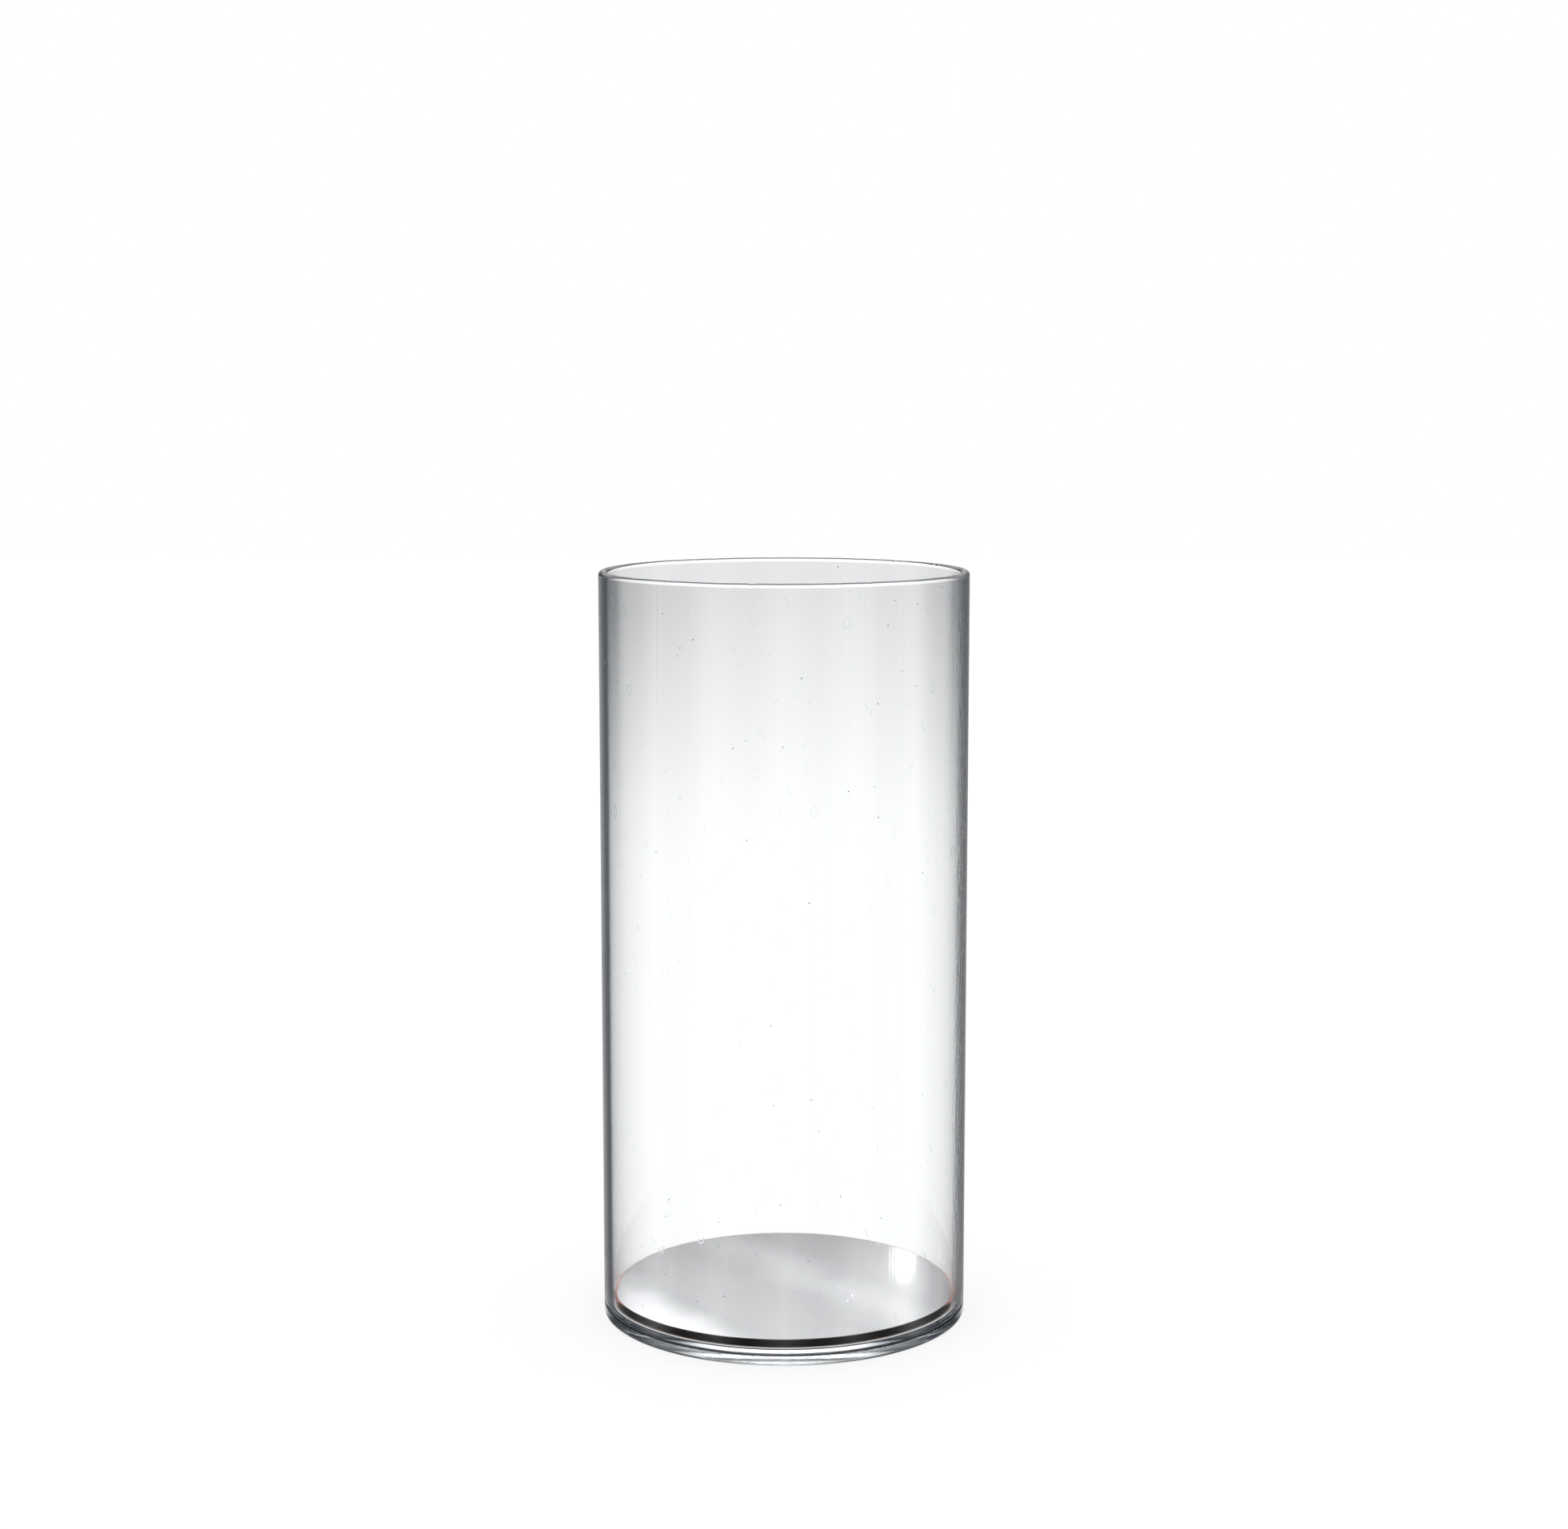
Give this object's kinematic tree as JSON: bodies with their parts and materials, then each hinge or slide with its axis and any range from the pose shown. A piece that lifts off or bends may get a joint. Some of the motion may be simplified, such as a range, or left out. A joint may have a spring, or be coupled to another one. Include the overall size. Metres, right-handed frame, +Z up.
{
  "type": "cylinder vase",
  "caption": "Clear straight-sided cylinder vase: drawn tube with a rounded rim on a bonded base plate, with a loose mirror disc lying on the floor inside.",
  "frame": {"origin": "centre of the underside, on the vase's axis", "axes": "+Z up along the vase's axis; the vase is round, so +X and +Y are free"},
  "size_m": [0.13, 0.13, 0.267],
  "materials": {
    "vase_glass": "clear, polished, fine vertical draw lines",
    "base_glass": "clear, polished",
    "clear_cement": "clear film with small bubbles",
    "silver_mirror": "satin silver",
    "dark_core": "charcoal, satin",
    "tan_backing": "matt coat",
    "tinted_film": "thin translucent copper-coloured film"
  },
  "bodies": {
    "vase": {"wall_tube": "vase_glass", "base_plate": "base_glass", "cement_ring": "clear_cement"},
    "insert": {"mirror_face": "silver_mirror", "insert_core": "dark_core", "insert_backing": "tan_backing", "edge_film": "tinted_film"}
  },
  "joints": [
    {"name": "insert_lift", "type": "slide", "parent": "vase", "child": "insert", "axis": [0, 0, 1], "range_m": [0, 0.285]}
  ]
}
